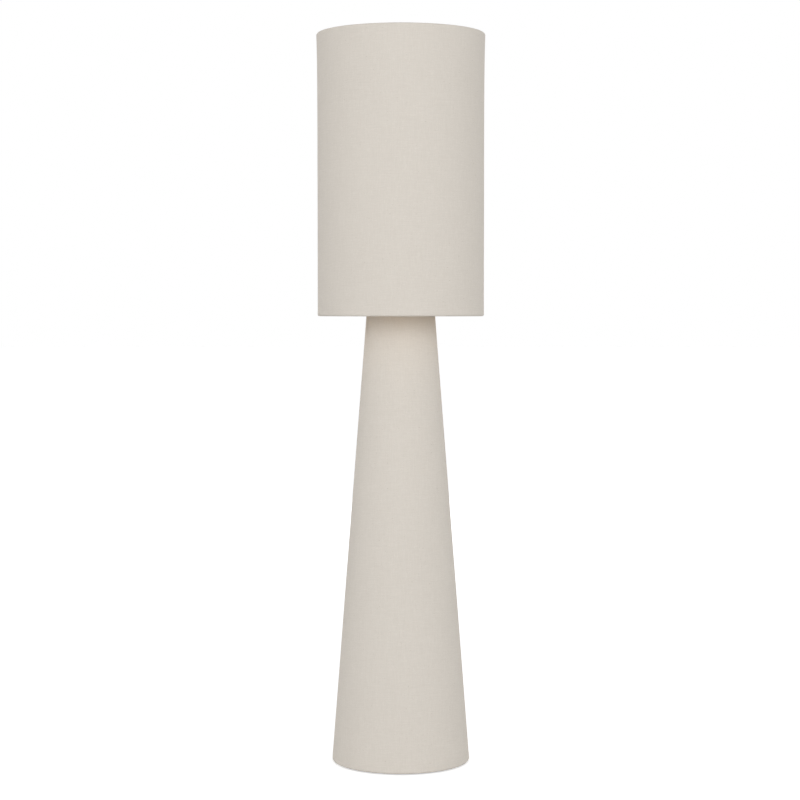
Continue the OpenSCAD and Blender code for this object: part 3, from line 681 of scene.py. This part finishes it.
def fluted_ring(name, node, finish):
    """A ring that screws on the lampholder, with finger flutes and soft edges."""
    low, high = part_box(node)
    bm = bmesh.new()
    lathe(bm, eased([(RING_BORE, low.z, 0.3*MM), (high.x, low.z, 1.2*MM), (high.x, high.z, 1.2*MM),
                     (RING_BORE, high.z, 0.3*MM)]), 12*FLUTES)
    within = high.x - 3*MM
    for v in bm.verts:
        r = hypot(v.co.x, v.co.y)
        if r > within:
            deep = FLUTE_DEPTH*max(0.0, cos(FLUTES*atan2(v.co.y, v.co.x)))**1.5
            v.co.xy *= (r - deep*min(1.0, (r - within)/(1.5*MM)))/r
    return finish_piece(bm, name, finish, "lamp", (node,))


class LAMP_OT_lampholder(bpy.types.Operator):
    """Finish the lampholder and make its two fluted shade rings"""
    bl_idname = "lamp.lampholder"
    bl_label = "Lampholder"

    def execute(self, context):
        scene = context.scene
        plastic = finish_for(scene, "plastic")
        dress(scene, "plastic", "holder_cap")
        # The sleeve, with a moulded thread for the rings from end to end
        low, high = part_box("holder_sleeve")
        crest, root = high.x, high.x - SLEEVE_THREAD
        lip, lip_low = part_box("holder_screw_shell")[1].x + 0.3*MM, high.z - SLEEVE_LIP
        step = low.z + SPIGOT_HEIGHT
        thread_low, thread_high = step + SLEEVE_RUNOUT, high.z - SLEEVE_RUNOUT
        bm = bmesh.new()
        wave = [(0.0, root), (0.12, root), (0.40, crest), (0.60, crest), (0.88, root), (1.0, root)]
        helix(bm, wave, SLEEVE_PITCH, thread_low, thread_high, root, 48)
        lathe(bm, eased([(root, thread_high + 0.1*MM, 0), (root, high.z, 0.5*MM), (lip, high.z, 0.4*MM),
                         (lip, lip_low, 0.2*MM), (SLEEVE_BORE, lip_low, 0), (SLEEVE_BORE, low.z, 0.2*MM),
                         (SPIGOT_RADIUS, low.z, 0.3*MM), (SPIGOT_RADIUS, step, 0), (root, step, 0.3*MM),
                         (root, thread_low - 0.1*MM, 0)]), closed=False)
        join_rims(bm, thread_low)
        join_rims(bm, thread_high)
        finish_piece(bm, "threaded_sleeve", plastic, "lamp", ("holder_sleeve",))
        dress(scene, "ceramic", "holder_core")
        dress(scene, "brass", "holder_screw_shell", "holder_contact")
        fluted_ring("ring_under_hub", "lower_shade_ring", plastic)
        fluted_ring("ring_over_hub", "upper_shade_ring", plastic)
        return {"FINISHED"}


class LAMP_OT_bulb(bpy.types.Operator):
    """Make the opal bulb: globe, housing, rolled screw cap, insulator and solder contact"""
    bl_idname = "lamp.bulb"
    bl_label = "Bulb"

    def execute(self, context):
        scene = context.scene
        low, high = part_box("bulb_globe")
        centre = high.z - high.x
        edge = -degrees(atan2(centre - low.z, GLOBE_MOUTH))
        bm = bmesh.new()
        lathe(bm, bow((0, centre), high.x, edge, 90, 40)
              + bow((0, centre), high.x - GLOBE_WALL, 90, edge, 40))
        finish_piece(bm, "globe", finish_for(scene, "opal"), "bulb", ("bulb_globe",))
        low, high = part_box("bulb_housing")
        cap_low, cap_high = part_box("bulb_cap")
        neck, span = CAP_INSIDE + MM, high.z - cap_high.z
        bm = bmesh.new()
        swell = [(neck + (GLOBE_MOUTH - neck)*(i/24)**1.6, cap_high.z + span*i/24) for i in range(25)]
        inside = [(a - HOUSING_WALL, z) for a, z in reversed(swell)]
        lathe(bm, [(CAP_INSIDE, low.z), (CAP_INSIDE, cap_high.z)] + swell[:-1]
              + [(GLOBE_MOUTH - 0.1*MM, high.z - 0.2*MM), (GLOBE_MOUTH - 0.4*MM, high.z)] + inside[1:]
              + [(CAP_INSIDE - HOUSING_WALL, low.z)])
        finish_piece(bm, "bulb_body", finish_for(scene, "housing"), "bulb",
                     ("bulb_housing",))
        # The cap's thread is rolled in thin metal
        crest, root = cap_high.x, cap_high.x - E27_THREAD
        mean, swing = (crest + root)/2, (crest - root)/2
        thread_low, thread_high = cap_low.z + 3.4*MM, cap_high.z - 2.6*MM
        bm = bmesh.new()
        wave = [(i/12, mean - swing*cos(tau*i/12)) for i in range(13)]
        helix(bm, wave, E27_PITCH, thread_low, thread_high, root)
        lathe(bm, eased([(0, cap_low.z, 0), (crest - 3*MM, cap_low.z, 0.6*MM),
                         (root, thread_low - 0.8*MM, 0.5*MM), (root, thread_low - 0.1*MM, 0)]),
              closed=False)
        lathe(bm, eased([(root, thread_high + 0.1*MM, 0), (root, thread_high + 0.8*MM, 0.3*MM),
                         (crest, thread_high + 1.4*MM, 0.3*MM), (crest, cap_high.z, 0.1*MM),
                         (crest - CAP_WALL, cap_high.z, 0.1*MM), (crest - CAP_WALL, cap_high.z - 2*MM, 0),
                         (0, cap_high.z - 2*MM, 0)]), closed=False)
        join_rims(bm, thread_low)
        join_rims(bm, thread_high)
        finish_piece(bm, "screw_cap", finish_for(scene, "nickel"), "bulb", ("bulb_cap",), 50)
        low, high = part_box("bulb_insulator")
        bm = bmesh.new()
        lathe(bm, eased([(0, low.z, 0), (INSULATOR_LOW, low.z, 0.5*MM),
                         (INSULATOR_HIGH, high.z - 0.6*MM, 0.5*MM), (INSULATOR_HIGH, high.z, 0),
                         (0, high.z, 0)]), 72)
        finish_piece(bm, "glass_ring", finish_for(scene, "insulator"), "bulb",
                     ("bulb_insulator",))
        low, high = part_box("bulb_contact")
        bm = bmesh.new()
        rim = high.z - 0.3*MM
        drop = [(CONTACT*sin(radians(a)), rim - (rim - low.z)*cos(radians(a))) for a in range(10, 91, 10)]
        lathe(bm, [(0, low.z)] + drop + [(CONTACT, high.z), (0, high.z)], 48)
        finish_piece(bm, "solder_contact", finish_for(scene, "nickel"), "bulb_tip",
                     ("bulb_contact",))
        return {"FINISHED"}


class LAMP_OT_base(bpy.types.Operator):
    """Finish the iron base and its fixings, and make the moulded floor pads"""
    bl_idname = "lamp.base"
    bl_label = "Base"

    def execute(self, context):
        scene = context.scene
        dress(scene, "iron", "base_plate")
        dress(scene, "steel", "stem_flange", "flange_screws", "strut_screws", "terminal_screws")
        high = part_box("floor_pads")[1]
        bm = bmesh.new()
        lathe(bm, eased([(0, 0.5*MM, 0), (4*MM, 0.5*MM, 0.4*MM), (5*MM, 0, 0.5*MM),
                         (PAD_RADIUS - 0.2*MM, 0, 0.7*MM), (PAD_RADIUS, high.z, 0), (0, high.z, 0)]), 64)
        bmesh.ops.translate(bm, vec=(high.x - PAD_RADIUS, high.y - PAD_RADIUS, 0), verts=bm.verts)
        array_round(bm, PADS)
        finish_piece(bm, "moulded_pads", finish_for(scene, "rubber"), "lamp", ("floor_pads",))
        return {"FINISHED"}


class LAMP_OT_frame(bpy.types.Operator):
    """Finish the stem, the column's wire frame, its liner, its top plate and the neck"""
    bl_idname = "lamp.frame"
    bl_label = "Stem and Frame"

    def execute(self, context):
        scene = context.scene
        dress(scene, "steel", "stem_tube")
        dress(scene, "wire", "column_bottom_hoop", "column_top_hoop", "column_struts")
        dress(scene, "liner", "column_liner")
        dress(scene, "paint", "column_top_plate", "neck_tube")
        dress(scene, "brass", "stem_plug", "threaded_tube")
        return {"FINISHED"}


class LAMP_OT_cord_way(bpy.types.Operator):
    """Finish the outlet grommet, the bush, the terminal block and the lead inside"""
    bl_idname = "lamp.cord_way"
    bl_label = "Cord Way"

    def execute(self, context):
        scene = context.scene
        dress(scene, "rubber", "outlet_grommet", "stem_bush")
        dress(scene, "block", "terminal_block")
        dress(scene, "lead", "inner_lead")
        return {"FINISHED"}


# ---- Studio ----

def seen_directly(tree):
    """1 for the rays that show the background: from the camera, in gloss and through glass."""
    path = wire_up(tree, "LightPath").outputs
    seen = calc(tree, "MAXIMUM", path["Is Camera Ray"], path["Is Glossy Ray"])
    return calc(tree, "MAXIMUM", seen, path["Is Transmission Ray"])


def put_light(name, light, place):
    """Puts a light in the scene, where the camera doesn't see it."""
    box = bpy.data.objects.new(name, light)
    box.location = place
    box.visible_camera = False
    bpy.context.scene.collection.objects.link(box)
    return box


def softbox(name, place, size, radiance, aim=(0, 0, 0.65)):
    """A rectangular area light of that radiance."""
    light = bpy.data.lights.new(name, "AREA")
    light.shape, light.size, light.size_y = "RECTANGLE", *size
    light.energy = radiance*pi*size[0]*size[1]
    box = put_light(name, light, place)
    box.rotation_euler = (Vector(aim) - Vector(place)).to_track_quat("-Z", "Y").to_euler()
    return light


class LAMP_OT_studio(bpy.types.Operator):
    """Set the pale floor, the white surroundings, the softboxes and the camera"""
    bl_idname = "lamp.studio"
    bl_label = "Studio"

    def execute(self, context):
        scene = context.scene
        kit = scene.lamp_studio
        scene.view_settings.view_transform = "Standard"
        bm = bmesh.new()
        bmesh.ops.create_grid(bm, x_segments=1, y_segments=1, size=40)
        mesh = bpy.data.meshes.new("floor")
        bm.to_mesh(mesh)
        bm.free()
        floor = bpy.data.objects.new("floor", mesh)
        scene.collection.objects.link(floor)
        finish = bpy.data.materials.new("Floor")
        finish.use_nodes = True
        tree = finish.node_tree
        skin = tree.nodes["Principled BSDF"]
        skin.inputs["Base Color"].default_value = (*kit.floor, 1)
        skin.inputs["Roughness"].default_value = 0.9
        skin.inputs["Specular IOR Level"].default_value = 0.0
        skin.inputs["Emission Color"].default_value = (1, 1, 1, 1)
        white = calc(tree, "MULTIPLY", seen_directly(tree), kit.floor_glow)
        tree.links.new(white, skin.inputs["Emission Strength"])
        # From under the floor the camera looks through it
        under = wire_up(tree, "NewGeometry").outputs["Backfacing"]
        both = wire_up(tree, "MixShader", {0: under, 1: skin.outputs[0],
                                           2: wire_up(tree, "BsdfTransparent").outputs[0]})
        tree.links.new(both.outputs[0], tree.nodes["Material Output"].inputs["Surface"])
        mesh.materials.append(finish)

        world = bpy.data.worlds.new("White room")
        scene.world = world
        world.use_nodes = True
        tree = world.node_tree
        # Light walls fade into a dim ceiling between 25 and 50 degrees up; the camera sees plain white
        up = wire_up(tree, "SeparateXYZ", {0: wire_up(tree, "TexCoord").outputs["Generated"]}).outputs[2]
        room = spread(tree, up, sin(radians(25)), sin(radians(50)), kit.walls, kit.ceiling)
        air = tree.nodes["Background"]
        air.inputs["Color"].default_value = (1, 1, 1, 1)
        tree.links.new(blend(tree, seen_directly(tree), room, 1.0), air.inputs["Strength"])

        softbox("softbox_left", (-2.0, -4.3, 1.55), (3.0, 2.2), kit.key)
        softbox("softbox_right", (2.0, -4.3, 1.55), (3.0, 2.2), kit.key)
        softbox("softbox_behind", (0, 4.8, 1.5), (3.0, 2.2), kit.back)
        top = softbox("softbox_top", (0, 0, 2.9), (0.6, 0.6), kit.top, (0, MM, 0))
        top.spread = radians(40)
        # Daylight that a cloth shade lets in: a soft warm glow in its mouth and in its middle
        mouth, middle = Vector((70*MM, 0, 95*MM)), Vector((0, 0, 360*MM))
        glows = [(Matrix.Rotation(tau*(i + 0.25)/3, 3, "Z") @ mouth, kit.inside, kit.inside_tint)
                 for i in range(3)]
        glows.append((middle, kit.middle, kit.middle_tint))
        for i, (place, power, tint) in enumerate(glows):
            glow = bpy.data.lights.new(f"glow_{i}", "POINT")
            glow.energy, glow.color, glow.shadow_soft_size = power, tint, 0.03
            put_light(f"glow_{i}", glow, place + UP*SHADE_LOW.z)

        camera = bpy.data.cameras.new("camera")
        camera.sensor_width = 36
        camera.lens = kit.lens
        camera.clip_end = 200
        view = bpy.data.objects.new("camera", camera)
        view.location = (-kit.aside, -kit.distance, kit.height)
        view.rotation_euler = (pi/2 - kit.tilt, 0, 0)
        scene.collection.objects.link(view)
        bpy.context.scene.camera = view
        return {"FINISHED"}


OPERATORS = [LAMP_OT_studio, LAMP_OT_shade_linen, LAMP_OT_column_linen, LAMP_OT_shade_frame,
             LAMP_OT_lampholder, LAMP_OT_bulb, LAMP_OT_frame, LAMP_OT_base, LAMP_OT_cord_way]


class LAMP_PT_sidebar(bpy.types.Panel):
    """The lamp's pieces and settings"""
    bl_idname = "LAMP_PT_sidebar"
    bl_label = "Column Floor Lamp"
    bl_space_type = "VIEW_3D"
    bl_region_type = "UI"
    bl_category = "Lamp"

    def draw(self, context):
        for operator in OPERATORS:
            self.layout.operator(operator.bl_idname)
        for group in GROUPS:
            settings = getattr(context.scene, group)
            box = self.layout.box()
            for key in settings.bl_rna.properties.keys():
                if key not in ("rna_type", "name"):
                    box.prop(settings, key)


def register():
    for group in GROUPS.values():
        bpy.utils.register_class(group)
    for operator in OPERATORS:
        bpy.utils.register_class(operator)
    bpy.utils.register_class(LAMP_PT_sidebar)
    for name, group in GROUPS.items():
        setattr(bpy.types.Scene, name, PointerProperty(type=group))


def unregister():
    for name in GROUPS:
        delattr(bpy.types.Scene, name)
    bpy.utils.unregister_class(LAMP_PT_sidebar)
    for operator in reversed(OPERATORS):
        bpy.utils.unregister_class(operator)
    for group in reversed(GROUPS.values()):
        bpy.utils.unregister_class(group)


def main():
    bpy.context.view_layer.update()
    register()
    bpy.ops.lamp.studio()
    bpy.ops.lamp.shade_linen()
    bpy.ops.lamp.column_linen()
    bpy.ops.lamp.shade_frame()
    bpy.ops.lamp.lampholder()
    bpy.ops.lamp.bulb()
    bpy.ops.lamp.frame()
    bpy.ops.lamp.base()
    bpy.ops.lamp.cord_way()


if __name__ == "__main__":
    main()
